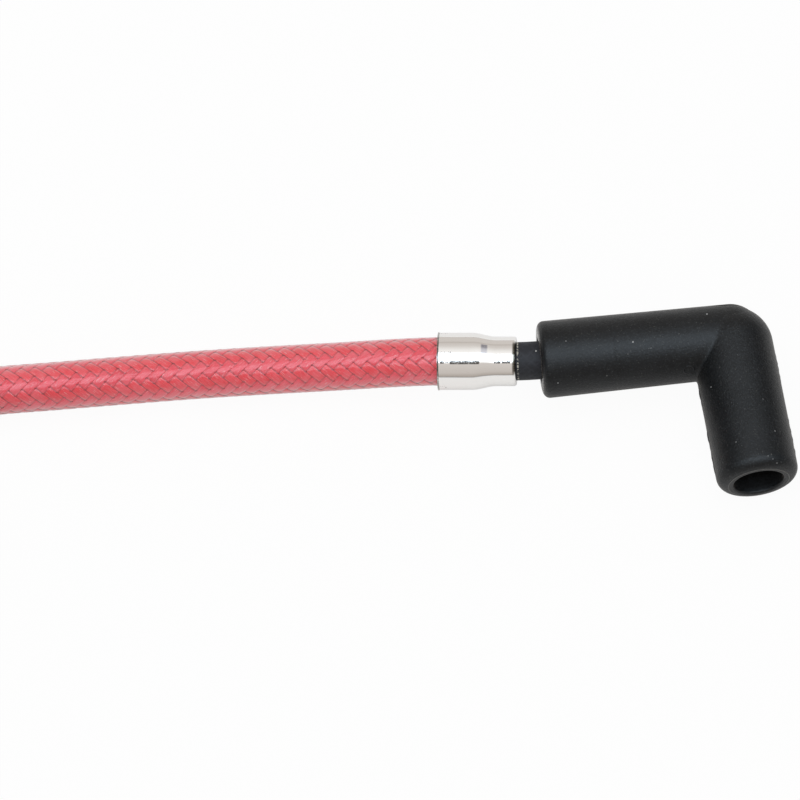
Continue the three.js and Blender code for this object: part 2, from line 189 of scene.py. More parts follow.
wireFace = bend + plugBoot["wireLegLength"] * toWire
plugFerruleSmall = wireFace + lead["exposedWire"] * unit(plugHeading + toWire)
plugFerruleLarge = plugFerruleSmall + lead["ferruleLength"] * plugHeading
laid = [np.array([plugFerruleLarge[0] + x, plugFerruleLarge[1] + y, z]) for x, y, z in lead["laid"]]
coilRun = lead["coilApproach"] + lead["ferruleLength"] * riseCos + lead["exposedWire"]
coilFace = np.array([laid[-1][0] + coilRun, laid[-1][1], lead["coilHeight"]])
coilFerruleSmall = coilFace - lead["exposedWire"] * unit(coilRise + toCoil)
coilFerruleLarge = coilFerruleSmall - lead["ferruleLength"] * coilRise
sleeveStart = plugFerruleLarge - lead["sleeveInset"] * plugHeading
sleeveStop = coilFerruleLarge + lead["sleeveInset"] * coilRise
wirePoints = [
    bend + lead["plugWireEnd"] * toWire,
    wireFace,
    plugFerruleSmall,
    sleeveStart,
    plugFerruleLarge,
    *laid,
    coilFerruleLarge,
    sleeveStop,
    coilFerruleSmall,
    coilFace,
    coilFace + lead["coilWireEnd"] * toCoil,
]
sleeveFirst, sleeveLast = 3, len(wirePoints) - 4


def smoothRoute(points, perSpan=24):
    # the even curve through the points, the length run along it, and that length at the points
    ends = [2 * points[0] - points[1], *points, 2 * points[-1] - points[-2]]
    line = []
    for before, here, there, after in zip(ends, ends[1:], ends[2:], ends[3:]):
        gapIn, gap, gapOut = (
            math.sqrt(np.linalg.norm(b - a)) for a, b in ((before, here), (here, there), (there, after))
        )
        leave = (here - before) / gapIn - (there - before) / (gapIn + gap) + (there - here) / gap
        arrive = (there - here) / gap - (after - here) / (gap + gapOut) + (after - there) / gapOut
        leave, arrive = leave * gap, arrive * gap
        for step in range(perSpan):
            t = step / perSpan
            line.append(
                here + leave * t
                + (3 * (there - here) - 2 * leave - arrive) * t * t
                + (2 * (here - there) + leave + arrive) * t ** 3
            )
    line = np.array([*line, points[-1]])
    run = np.concatenate([[0], np.cumsum(np.linalg.norm(np.diff(line, axis=0), axis=1))])
    return line, run, run[::perSpan]


routeLine, routeRun, routeStops = smoothRoute(wirePoints)


def alongRoute(distances):  # centre, tangent, up and viewer's side at each distance
    def placesAt(stops):
        return np.stack([np.interp(stops, routeRun, routeLine[:, i]) for i in range(3)], axis=1)

    reach = 0.6  # how far to look each way for the tangent
    ways = placesAt(distances + reach) - placesAt(distances - reach)
    ways /= np.linalg.norm(ways, axis=1)[:, None]
    ups = np.array([0, 0, 1]) - ways * ways[:, 2:3]
    ups /= np.linalg.norm(ups, axis=1)[:, None]
    return placesAt(distances), ways, ups, np.cross(ups, ways)


print("route laid:", round(routeRun[-1], 1), "mm of wire")


# materials
def tint(red, green, blue):  # a colour as a screen shows it, 0 to 255, turned linear
    return tuple(
        v / 12.92 if v <= 0.04045 else ((v + 0.055) / 1.055) ** 2.4
        for v in (red / 255, green / 255, blue / 255)
    ) + (1.0,)


class Signal:  # a shader socket that takes part in sums
    def __init__(self, finish, socket):
        self.finish = finish
        self.socket = socket

    def summed(self, operation, first, second):
        sockets = [side.socket for side in (first, second) if isinstance(side, Signal)]
        isWide = any(socket.type != "VALUE" for socket in sockets)
        kind = "ShaderNodeVectorMath" if isWide else "ShaderNodeMath"
        return self.finish.node(kind, {"operation": operation}, {0: first, 1: second})

    def __add__(self, other):
        return self.summed("ADD", self, other)

    def __radd__(self, other):
        return self.summed("ADD", other, self)

    def __sub__(self, other):
        return self.summed("SUBTRACT", self, other)

    def __rsub__(self, other):
        return self.summed("SUBTRACT", other, self)

    def __mul__(self, other):
        return self.summed("MULTIPLY", self, other)

    def __rmul__(self, other):
        return self.summed("MULTIPLY", other, self)

    def __truediv__(self, other):
        return self.summed("DIVIDE", self, other)

    def __rtruediv__(self, other):
        return self.summed("DIVIDE", other, self)

    def __abs__(self):
        return self.finish.scalar("ABSOLUTE", self)


class Finish:  # a material, or the world, built node by node
    def __init__(self, owner):
        self.owner = owner
        owner.use_nodes = True
        self.tree = owner.node_tree
        self.tree.nodes.clear()

    def node(self, kind, settings=None, sockets=None, out=0):
        made = self.tree.nodes.new(kind)
        for name, value in (settings or {}).items():
            if name == "stops":
                ramp = made.color_ramp
                while len(ramp.elements) < len(value):
                    ramp.elements.new(1)
                for element, (position, colour) in zip(ramp.elements, value):
                    element.position = position
                    element.color = colour
            else:
                setattr(made, name, value)
        for name, value in (sockets or {}).items():
            socket = made.inputs[name]
            if isinstance(value, Signal):
                self.tree.links.new(value.socket, socket)
            elif socket.type == "VECTOR" and not hasattr(value, "__len__"):
                socket.default_value = (value,) * 3
            else:
                socket.default_value = value
        return Signal(self, made.outputs[out]) if made.outputs else None

    def scalar(self, operation, *numbers):
        return self.node("ShaderNodeMath", {"operation": operation}, dict(enumerate(numbers)))

    def measured(self, operation, *vectors):  # a number made from vectors
        return self.node("ShaderNodeVectorMath", {"operation": operation}, dict(enumerate(vectors)), out=1)

    def joined(self, *numbers):  # a vector made from numbers
        return self.node("ShaderNodeCombineXYZ", None, dict(enumerate(numbers)))

    def named(self, attribute, out=2):  # 2 is its number, 1 its vector
        return self.node("ShaderNodeAttribute", {"attribute_name": attribute}, out=out)

    def angleTurned(self, wide, high):  # in degrees
        return self.scalar("ARCTAN2", wide, high) * math.degrees(1)

    def parts(self, vector):
        separate = self.node("ShaderNodeSeparateXYZ", None, {0: vector}).socket.node
        return [Signal(self, socket) for socket in separate.outputs]

    def eased(self, value, low, high, first=0.0, last=1.0):
        return self.node(
            "ShaderNodeMapRange",
            {"interpolation_type": "SMOOTHSTEP"},
            {"Value": value, "From Min": low, "From Max": high, "To Min": first, "To Max": last},
        )

    def mixed(self, share, first, second):
        return self.node("ShaderNodeMix", {"data_type": "RGBA"}, {0: share, 6: first, 7: second}, out=2)

    def noise(self, where, scale, detail=2.0, roughness=0.5):
        sockets = {"Vector": where, "Scale": scale, "Detail": detail, "Roughness": roughness}
        return self.node("ShaderNodeTexNoise", None, sockets)

    def bumped(self, height, distance, strength):
        sockets = {"Height": height, "Distance": distance * mm, "Strength": strength}
        return self.node("ShaderNodeBump", None, sockets)

    def surface(self, **values):  # socket names with their spaces left out
        shader = self.node("ShaderNodeBsdfPrincipled")
        inputs = {socket.name.replace(" ", ""): socket for socket in shader.socket.node.inputs}
        for name, value in values.items():
            socket = inputs[name]
            if isinstance(value, Signal):
                self.tree.links.new(value.socket, socket)
            else:
                socket.default_value = value
        self.output(shader)
        return self.owner

    def output(self, shader, kind="ShaderNodeOutputMaterial"):
        self.node(kind, None, {"Surface": shader})


def newFinish(name):
    return Finish(bpy.data.materials.new(name))


def objectPlace(finish):  # the row frame, in millimetres
    return finish.node("ShaderNodeTexCoord", out=3) * 1000


print("material helpers ready")


# mesh helpers
def meshPiece(name, points, faces, finish, sharp, notes=None):  # notes are for its material
    mesh = bpy.data.meshes.new(name)
    mesh.from_pydata((points * mm).tolist(), [], faces if isinstance(faces, list) else faces.tolist())
    for label, values in (notes or {}).items():
        kind, field = ("FLOAT", "value") if values.ndim == 1 else ("FLOAT_VECTOR", "vector")
        mesh.attributes.new(label, kind, "POINT").data.foreach_set(field, values.astype(np.float32).ravel())
    mesh.update()
    return finishedPiece(name, mesh, finish, sharp)


def finishedPiece(name, mesh, finish, sharp):  # edges past so many degrees stay sharp
    mesh.shade_smooth()
    mesh.set_sharp_from_angle(angle=math.radians(sharp))
    mesh.materials.clear()
    mesh.materials.append(finish)
    piece = bpy.data.objects.new(name, mesh)
    scene.collection.objects.link(piece)
    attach(piece, "root")
    return piece


def gridFaces(rows, columns, isLoop=True, isRing=False, first=0):  # quads over rows of columns
    rowSteps = np.arange(rows if isRing else rows - 1)
    columnSteps = np.arange(columns if isLoop else columns - 1)
    row, column = np.meshgrid(rowSteps, columnSteps, indexing="ij")
    nextRow, nextColumn = (row + 1) % rows, (column + 1) % columns
    corners = [row * columns + column, row * columns + nextColumn,
               nextRow * columns + nextColumn, nextRow * columns + column]
    return np.stack([c.ravel() for c in corners], axis=1) + first


def basis(way):  # up and side beside a direction
    up = unit(np.array([0, 0, 1]) - np.array(way) * way[2])
    return up, np.cross(up, way)


def turned(profile, start, way, sides=96, isRing=True):  # a profile of (along, radius) swung round
    up, side = basis(way)
    angles = np.arange(sides) * 2 * math.pi / sides
    along = np.array([p[0] for p in profile], float)[:, None]
    radius = np.array([p[1] for p in profile], float)[:, None]
    high, wide = radius * np.cos(angles), radius * np.sin(angles)
    along = along + 0 * high
    points = start + along[..., None] * way + high[..., None] * up + wide[..., None] * side
    places = np.stack([along, high, wide], axis=2)
    faces = gridFaces(len(profile), sides, True, isRing)
    return points.reshape(-1, 3), faces, places.reshape(-1, 3)


def rounded(along, radius, alongSize, radiusSize, first, last, steps=8):
    angles = np.radians(np.linspace(first, last, steps + 1))
    return [(along + alongSize * math.cos(a), radius + radiusSize * math.sin(a)) for a in angles]


def modified(piece, *modifiers):  # the piece's mesh with modifiers applied
    for kind, settings in modifiers:
        modifier = piece.modifiers.new(kind.lower(), kind)
        for name, value in settings.items():
            setattr(modifier, name, value)
    bpy.context.view_layer.update()
    shaped = bpy.data.meshes.new_from_object(piece.evaluated_get(bpy.context.evaluated_depsgraph_get()))
    piece.modifiers.clear()
    return shaped


def closedObject(name, parts):  # one object of several closed meshes, poles merged
    mesh = bpy.data.meshes.new(name)
    points = np.concatenate([p for p, _ in parts])
    starts = np.cumsum([0] + [len(p) for p, _ in parts])
    faces = np.concatenate([f + s for (_, f), s in zip(parts, starts)])
    mesh.from_pydata((points * mm).tolist(), [], faces.tolist())
    work = bmesh.new()
    work.from_mesh(mesh)
    bmesh.ops.remove_doubles(work, verts=work.verts, dist=0.002 * mm)
    bmesh.ops.recalc_face_normals(work, faces=work.faces)
    work.to_mesh(mesh)
    work.free()
    made = bpy.data.objects.new(name, mesh)
    scene.collection.objects.link(made)
    return made


# braided sleeve
braid = {
    "carriers": 12,  # strands each way round
    "lead": 34.7,  # length of one full turn
    "radius": 4.82,
    "lift": 0.11,  # how far a strand rises over, or dips under
    "climb": 1.3,  # how quickly it changes from one to the other
    "width": 2.0,
    "thickness": 0.16,
    "edge": 0.04,
    "crown": 0.03,
    "over": "AABB",  # the way that lies over at each crossing: A falls and B rises, seen from the front
    "rings": (0, 0.28, 0.5, 0.72),  # where a strand's rings stand, as shares of a crossing
    "endClear": 0.05,  # least gap from a ring to the strand's end, as a share of a crossing
    "facing": 25,  # degrees from the top to the line that faces the camera
    "firstCrossing": 3.4,  # degrees from that line
    "twist": 0.15,  # degrees to the millimetre by which the pattern winds
    "wires": 8,  # in each strand
    "fallingRed": tint(255, 46, 62),
    # the rising strands are a paler copy of the red, a painted highlight where they catch the light
    "risingRed": tint(255, 64, 84),
    # the strands' own darker tone, also the colour of the painted shade at their edges, dips and gaps
    "deepRed": tint(132, 8, 24),
    "paleRed": tint(252, 138, 150),
    "glint": tint(252, 214, 214),
    "fallingOutline": 0.92,  # how dark the painted shade at the strands' edges is
    # fainter on the rising strands, washed out by their painted highlight
    "risingOutline": 0.3,
    # how strongly the other patterns show
    "streakPale": 0.5,
    "streakDeep": 0.34,
    "patchPale": 0.3,
    "patchDeep": 0.14,
    "wireShade": 0.12,
    "glintShare": 0.55,
    "diveShade": 0.5,
    "speckShade": 0.9,
    "bump": 0.06,
    "roughness": 0.34,
    "shine": 0.3,
    "coat": 1.0,
    "coatRoughness": 0.12,
    "coatIor": 1.42,
    "sheen": 1.0,
    "sheenRoughness": 0.55,
}


def strandFinish(name, red, outlined):
    finish = newFinish(name)
    deep, pale = braid["deepRed"], braid["paleRed"]
    across, along, strand, dip, corner = (
        finish.named(attribute) for attribute in ("across", "along", "strand", "dip", "corner")
    )
    wireWave = finish.scalar("COSINE", across * (math.pi * braid["wires"]))
    streaks = finish.noise(finish.joined(along * 0.35, across * 3.4, strand * 7.3), 1.7, 4.0, 0.7)
    glints = finish.noise(finish.joined(along * 0.5, across * 5, strand * 5.1), 1.3)
    patches = finish.noise(finish.joined(along * 0.3, strand * 3.1, 0.5), 1.0)
    base = finish.mixed(finish.eased(streaks, 0.46, 0.7) * braid["streakPale"], red, pale)
    base = finish.mixed(finish.eased(streaks, 0.46, 0.26) * braid["streakDeep"], base, deep)
    base = finish.mixed(finish.eased(patches, 0.35, 0.75) * braid["patchPale"], base, pale)
    base = finish.mixed(finish.eased(patches, 0.5, 0.2) * braid["patchDeep"], base, deep)
    base = finish.mixed(finish.eased(wireWave, -0.4, -1.0) * braid["wireShade"], base, deep)
    base = finish.mixed(finish.eased(glints, 0.64, 0.72) * braid["glintShare"], base, braid["glint"])
    # painted shade along the strands' edges, where each meets the next
    edge = finish.eased(abs(across), 0.8, 1.0) * finish.eased(patches, 0.2, 0.6, 0.5, 1.0)
    base = finish.mixed(edge * outlined, base, deep)
    # painted shade where it dives under the other strands
    base = finish.mixed(finish.eased(dip, 0.08, 0.55) * braid["diveShade"], base, deep)
    # painted shade in the gaps where four strands meet, at some of them
    speck = finish.eased(corner, 0.15, 0.03) * finish.eased(abs(across), 0.66, 0.92)
    base = finish.mixed(speck * finish.eased(glints, 0.36, 0.56) * braid["speckShade"], base, deep)
    return finish.surface(
        BaseColor=base,
        Roughness=braid["roughness"] + 0.2 * streaks,
        SpecularIORLevel=braid["shine"],
        CoatWeight=braid["coat"],
        CoatRoughness=braid["coatRoughness"],
        CoatIOR=braid["coatIor"],
        SheenWeight=braid["sheen"],
        SheenRoughness=braid["sheenRoughness"],
        Normal=finish.bumped(wireWave * 0.35 + streaks * 0.9, braid["bump"], 0.8),
    )


def strandSection():  # closed, as (across from -1 to 1, height), upper side first
    half = braid["thickness"] / 2 + braid["edge"] / 2
    upper = [
        (x, half - braid["thickness"] / 2 * abs(x) ** 6 + braid["crown"] * (1 - x * x))
        for x in (-1, -0.86, -0.45, 0.45, 0.86, 1)
    ]
    return upper + [(0.7, -half), (-0.7, -half)]


def layBraid(letter, sense, parity):  # every second strand of one way round
    first, last = routeStops[sleeveFirst], routeStops[sleeveLast]
    perCrossing = braid["lead"] / (2 * braid["carriers"])
    start, stop = first / perCrossing, last / perCrossing
    steps = np.arange(math.floor(start), math.ceil(stop))[:, None] + np.array(braid["rings"])
    steps = steps[(steps > start + braid["endClear"]) & (steps < stop - braid["endClear"])]
    steps = np.concatenate([[start], steps, [stop]])
    distances = steps * perCrossing
    count = len(distances)
    centres, ways, ups, sides = alongRoute(distances)
    section = np.array(strandSection())
    size = len(section)
    pitch = 360 / (2 * braid["carriers"])
    zero = braid["facing"] + braid["firstCrossing"] + braid["twist"] * (distances - first)
    over = np.array([1.0 if c == letter else -1.0 for c in braid["over"]])
    slope = math.atan(2 * math.pi * braid["radius"] / braid["lead"])
    points, faces = [], []
    notes = {"across": [], "along": [], "strand": [], "dip": [], "corner": []}
    for number in range(parity, braid["carriers"], 2):
        crossing = sense * steps + 2 * number
        low = np.floor(crossing + 1e-6).astype(int)
        share = np.clip(crossing - low, 0, 1)
        ease = np.clip((share - 0.5) * braid["climb"] + 0.5, 0, 1)
        ease = ease * ease * (3 - 2 * ease)
        lift = over[low % len(over)] * (1 - ease) + over[(low + 1) % len(over)] * ease
        radians = np.radians(crossing * pitch + zero)
        out = ups * np.cos(radians)[:, None] + sides * np.sin(radians)[:, None]
        around = -ups * np.sin(radians)[:, None] + sides * np.cos(radians)[:, None]
        middle = centres + out * (braid["radius"] + braid["lift"] * lift)[:, None]
        # across the strand, square to its run and bent to the sleeve
        crosswise = around * math.cos(slope) - sense * ways * math.sin(slope)
        spread = section[:, 0] * braid["width"] / 2
        sag = (spread * math.cos(slope)) ** 2 / (2 * braid["radius"])
        ring = (
            middle[:, None]
            + spread[None, :, None] * crosswise[:, None]
            + (section[:, 1] - sag)[None, :, None] * out[:, None]
        )
        base = len(points) * count * size
        points.append(ring.reshape(-1, 3))
        notes["across"].append(np.tile(section[:, 0], count))
        notes["along"].append(np.repeat(distances / math.cos(slope), size))
        notes["strand"].append(np.full(count * size, float(number)))
        notes["dip"].append(np.repeat((1 - lift) / 2, size))
        notes["corner"].append(np.repeat(np.abs(share - 0.5), size))
        body = gridFaces(count, size, True, False, base)
        faces.extend(body.tolist() if sense > 0 else body[:, ::-1].tolist())
        lastRing = base + (count - 1) * size
        ends = [list(range(base + size - 1, base - 1, -1)), list(range(lastRing, lastRing + size))]
        faces.extend(ends if sense > 0 else [end[::-1] for end in ends])
    return np.concatenate(points), faces, {label: np.concatenate(values) for label, values in notes.items()}


def braidPieces(name, letter, sense, red, outlined):
    finish = strandFinish(name + "_finish", red, outlined)
    pieces = []
    for parity in range(2):
        points, faces, notes = layBraid(letter, sense, parity)
        pieces.append(meshPiece(f"{name}_{parity + 1}", points, faces, finish, 60, notes))
    return pieces


sleevePieces = [
    *braidPieces("sleeve_strands_falling", "A", -1, braid["fallingRed"], braid["fallingOutline"]),
    *braidPieces("sleeve_strands_rising", "B", 1, braid["risingRed"], braid["risingOutline"]),
]
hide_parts("braided_sleeve")
sleeveMiddle = alongRoute(np.linspace(routeStops[sleeveFirst], routeStops[sleeveLast], 400))[0]
sleeveLength = routeStops[sleeveLast] - routeStops[sleeveFirst]
print("braid laid:", [len(piece.data.polygons) for piece in sleevePieces], "faces")


# insulated wire, bare between each ferrule and its boot
jacket = {
    "sides": 48,
    "step": 1.9,
    "black": tint(38, 39, 43),
    "worn": tint(62, 63, 68),
    "weave": 1.3,  # width of the faint diagonal ribs
    "weaveTurn": 0.72,  # how steeply they wind
    "fray": tint(214, 210, 196),  # a pale broken ring on the bare wire beside the ferrule
    "frayStart": 0.35,  # from the ferrule's small end
    "frayEnd": 0.75,
    "fleck": tint(226, 226, 224),
    "fleckPixel": (536, 351),  # where the picture shows it
    "fleckSize": 0.2,
    "roughness": 0.5,
    "shine": 0.3,
    "ribShade": 0.3,
    "grainShade": 0.25,
    "bump": 0.07,
}


def onWire(across, down):  # the point of the bare wire that a pixel of the picture shows
    way = sightLine(across, down)
    offset = eye - wireFace
    run = unit(plugFerruleSmall - wireFace)
    flatWay, flatOffset = way - run * (way @ run), offset - run * (offset @ run)
    a, b = flatWay @ flatWay, flatOffset @ flatWay
    c = flatOffset @ flatOffset - (lead["wireDiameter"] / 2) ** 2
    return eye + way * (-b - math.sqrt(max(b * b - a * c, 0))) / a


def jacketFinish():
    finish = newFinish("wire_jacket_black")
    place = finish.named("place", 1)
    along, high, wide = finish.parts(place)
    turn = finish.scalar("ARCTAN2", wide, high) * (lead["wireDiameter"] / 2)
    wave = 2 * math.pi / jacket["weave"] * jacket["weaveTurn"]
    patches = finish.noise(place, 0.55, 2.0, 0.5)
    rising = finish.scalar("SINE", (along + turn) * wave + patches * 5)
    falling = finish.scalar("SINE", (along - turn) * wave - patches * 4)
    weave = finish.scalar("MAXIMUM", rising, falling) * finish.eased(patches, 0.35, 0.65, 0.35, 1.0)
    grain = finish.noise(place, 3.2, 4.0, 0.6)
    worn = finish.eased(weave, 0.2, 1.0) * jacket["ribShade"] + grain * jacket["grainShade"]
    base = finish.mixed(worn, jacket["black"], jacket["worn"])
    # a pale broken ring just outside the plug end's ferrule
    paleRingBreaks = finish.noise(place * (0.4, 1.0, 1.0), 2.6, 2.0, 0.6)
    ferruleEnd = routeStops[2]
    first, last = ferruleEnd - jacket["frayEnd"], ferruleEnd - jacket["frayStart"]
    ring = finish.eased(along, first, first + 0.1) * finish.eased(along, last, last - 0.1)
    base = finish.mixed(ring * finish.eased(paleRingBreaks, 0.46, 0.54) * 0.95, base, jacket["fray"])
    gap = finish.measured("DISTANCE", objectPlace(finish), tuple(onWire(*jacket["fleckPixel"])))
    near = finish.eased(gap, jacket["fleckSize"], jacket["fleckSize"] * 0.4)
    return finish.surface(
        BaseColor=finish.mixed(near, base, jacket["fleck"]),
        Roughness=jacket["roughness"] + 0.2 * grain,
        SpecularIORLevel=jacket["shine"],
        Normal=finish.bumped(weave * 0.5 + grain * 0.5, jacket["bump"], 0.6),
    )


def layWire():
    count = int(routeRun[-1] / jacket["step"])
    distances = np.linspace(0, routeRun[-1], count)
    centres, _, ups, sides = alongRoute(distances)
    angles = np.arange(jacket["sides"]) * 2 * math.pi / jacket["sides"]
    rings, places = [], []
    for radius in (lead["wireDiameter"] / 2, lead["coreHole"] / 2):
        high, wide = radius * np.cos(angles), radius * np.sin(angles)
        rings.append(
            centres[:, None] + high[None, :, None] * ups[:, None] + wide[None, :, None] * sides[:, None]
        )
        places.append(np.stack(np.broadcast_arrays(distances[:, None], high[None], wide[None]), axis=2))
    # one closed skin: out along the outside, back along the hole
    points = np.concatenate([rings[0], rings[1][::-1]]).reshape(-1, 3)
    places = np.concatenate([places[0], places[1][::-1]]).reshape(-1, 3)
    return points, gridFaces(2 * count, jacket["sides"], True, True), places


points, faces, places = layWire()
wire = meshPiece("wire_jacket", points, faces, jacketFinish(), 50, {"place": places})
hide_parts("ignition_wire")
print("wire laid")


# polished ferrules
ferrule = {
    "large": 11.9,
    "small": 10.3,
    "largeLength": 8,  # of the wide bore inside
    "taperStart": 4.3,  # from the small end
    "taper": 5,
    "lip": 0.6,  # rounding of the small end
    "rim": 0.3,  # turned out at the large end
    "edge": 0.12,
    "chamfer": 0.06,
    "fit": 0.3,
    "pushedOn": 0.25,  # how much nearer the boot it sits than its solid
    "polish": tint(250, 248, 245),
    # dark colour of the painted reflection streak, and of the tiny stains
    "streak": tint(46, 42, 38),
    "streakTurn": 27.6,  # degrees from the top
    "streakHalf": 4.3,  # degrees
    "streakShade": 0.92,
    # where the painted reflection streak runs, from the small end: from, to, share of its width
    "streakRuns": [
        (1.0, 2.9, 0.8), (3.05, 4.5, 0.85), (7.4, 13.7, 1.0), (13.7, 14.7, 0.3), (14.7, 15.7, 0.75),
    ],
    "patchRun": (5.7, 7.35),  # the painted blue reflection, from the small end
    "patchTurn": (-15, 24),  # degrees from the top
    "patchShare": 0.55,
    "blue": tint(176, 180, 198),
    "blueTop": tint(122, 122, 134),
    # colour of the painted dark reflection on the small end's lip and the painted shadow at the large end's
    # rim
    "olive": tint(74, 70, 56),
    # tiny stains: from the small end, degrees from the top, size
    "stains": [
        (13.5, 7, 0.2), (13.9, 6.5, 0.13), (14.7, 6.8, 0.14), (15.3, 6.4, 0.12), (15.6, 7.2, 0.12),
        (14.6, 92, 0.22), (15.6, 86, 0.13), (15.2, 86.5, 0.12), (14.8, 86, 0.1),
        (15.9, -52, 0.18), (15.5, -51, 0.2), (15.1, -53, 0.16), (14.7, -51, 0.2), (14.3, -52, 0.14),
    ],
}


def ferruleProfile():
    small, large = ferrule["small"] / 2, ferrule["large"] / 2
    end = lead["ferruleLength"]
    innerStep = end - ferrule["largeLength"] + ferrule["fit"]
    innerSmall = lead["wireDiameter"] / 2 + ferrule["fit"]
    innerLarge = lead["sleeveDiameter"] / 2 + ferrule["fit"]
    middle = (small + innerSmall) / 2
    taper = []
    for share in np.linspace(0, 1, 15):
        ease = share * share * (3 - 2 * share)
        taper.append((ferrule["taperStart"] + share * ferrule["taper"], small + (large - small) * ease))
    rim, chamfer = ferrule["rim"], ferrule["chamfer"]
    return [
        *rounded(ferrule["lip"], middle, ferrule["lip"], small - middle, 270, 90, 14),
        *taper,
        (end - rim - 0.1, large),
        (end - rim + 0.05, large + 0.02),
        (end - ferrule["edge"], large + rim / 2),
        (end, large + rim / 2 - 0.03),
        (end, innerLarge + chamfer),
        (end - chamfer, innerLarge),
        (innerStep, innerLarge),
        (innerStep, innerSmall),
        (ferrule["lip"], innerSmall),
    ]


def ferruleFinish():
    finish = newFinish("ferrule_polish")
    place = finish.named("place", 1)
    along, high, wide = finish.parts(place)
    angle = finish.angleTurned(wide, high)
    ragged = finish.noise(finish.joined(along * 2.4, 0.4, 0.9), 1.3, 4.0, 0.75)
    broken = finish.noise(finish.joined(along * 3.1, angle * 0.2, 4.0), 1.6, 3.0, 0.7)
    # a dark reflection painted as a ragged streak along the ferrule
    width = 0
    for first, last, share in ferrule["streakRuns"]:
        run = finish.eased(along, first, first + 0.15) * finish.eased(along, last, last - 0.15)
        width = width + run * share
    width = width * (0.1 + 1.7 * ragged) * ferrule["streakHalf"]
    away = abs(angle - ferrule["streakTurn"] + (ragged - 0.5) * 6)
    streak = finish.eased(away - width, 0.1, -1.0) * finish.eased(broken, 0.36, 0.46, 0.2, 1.0)
    # hazy blue reflection painted on the step down to the small end, darker at its top
    (first, last), (top, low) = ferrule["patchRun"], ferrule["patchTurn"]
    blueReflection = finish.eased(along, first, first + 0.4) * finish.eased(along, last, last - 0.4)
    blueReflection = blueReflection * finish.eased(angle, top, top + 3)
    blueReflectionTop = blueReflection * finish.eased(angle, 0, top + 6)
    blueReflection = blueReflection * finish.eased(angle, low, 0)
    # painted dark reflection on the rolled lip at the small end
    lip = finish.eased(along, 0.85, 0.5) * finish.eased(angle, -30, -16) * finish.eased(angle, 66, 46)
    # painted shadow line along the rim at the large end
    rim = finish.eased(along, lead["ferruleLength"] - 0.42, lead["ferruleLength"] - 0.28)
    base = finish.mixed(blueReflection * ferrule["patchShare"], ferrule["polish"], ferrule["blue"])
    base = finish.mixed(blueReflectionTop * (0.15 + 0.8 * broken), base, ferrule["blueTop"])
    base = finish.mixed(streak * ferrule["streakShade"], base, ferrule["streak"])
    base = finish.mixed(lip * (0.5 + 0.8 * broken), base, ferrule["olive"])
    base = finish.mixed(rim * finish.eased(broken, 0.3, 0.6, 0.3, 0.75), base, ferrule["olive"])
    radius = ferrule["large"] / 2
    for distance, turn, size in ferrule["stains"]:
        turnCosine, turnSine = turnedBy(turn)
        gap = finish.measured("DISTANCE", place, (distance, radius * turnCosine, radius * turnSine))
        base = finish.mixed(finish.eased(gap, size, size * 0.3) * 0.75, base, ferrule["streak"])
    fine = finish.noise(place * (0.5, 2.0, 2.0), 5.0, 2.0, 0.5)
    ripple = finish.noise(place * (0.25, 1.0, 1.0), 0.7, 1.0, 0.5)
    normal = finish.bumped(ripple + fine * 0.01, 0.03, 0.5)
    return finish.surface(BaseColor=base, Metallic=1.0, Roughness=0.045 + 0.05 * fine, Normal=normal)


ferrulePolish = ferruleFinish()
for node, start, way in (
    ("plug_end_ferrule", plugFerruleSmall, plugHeading),
    ("coil_end_ferrule", coilFerruleSmall, -coilRise),
):
    points, faces, places = turned(ferruleProfile(), start - ferrule["pushedOn"] * way, way)
    notes = {"place": places}
    made = meshPiece(node + "_shell", points, faces, ferrulePolish, 40, notes)
    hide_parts(node)
print("ferrules turned")


# moulded rubber boots
rubber = {
    "black": tint(8, 10, 12),
    "grey": tint(39, 41, 43),
    # colour of the painted shade inside the plug boot's bore
    "hollow": tint(1, 1, 1),
    # colour of the dust specks, and of the painted highlight on the mouth's ridge
    "dust": tint(150, 150, 146),
    "dustShare": 0.3,  # of the cells of the dust pattern that hold a speck
    "fleck": tint(205, 206, 206),
    "fleckSize": 0.17,
    # dust flecks and scratches, and the mark of a mould pin, by their place in the picture
    "flecks": [(707, 314, 1.3), (633, 342, 1.2), (566, 341, 0.8), (558, 383, 1.0), (711, 387, 1.1),
               (775, 431, 1.0), (763, 399, 0.7), (736, 442, 0.7), (768, 456, 0.6), (773, 459, 0.7),
               (777, 463, 0.8), (781, 462, 0.5), (745, 409, 0.5), (651, 348, 0.6), (628, 354, 0.6)],
    "pinMark": (689, 370),
    "pinRadius": 1.05,
    "insertLine": 24.9,  # from the bend, along the wire leg
    "mouthRidge": 6.35,  # radius of the fine ridge round the mouth
    "roughness": 0.34,
    "shine": 0.31,
    "sheen": 0.15,
    "sheenRoughness": 0.25,
    "sheenTint": (1.0, 0.88, 0.76, 1.0),
    # how strongly the patterns show
    "cloudShare": 0.18,
    "grainShare": 0.6,
    "poreShare": 0.9,
    "speckShare": 0.34,
    "tinyShare": 0.2,
    "bump": 0.1,
}


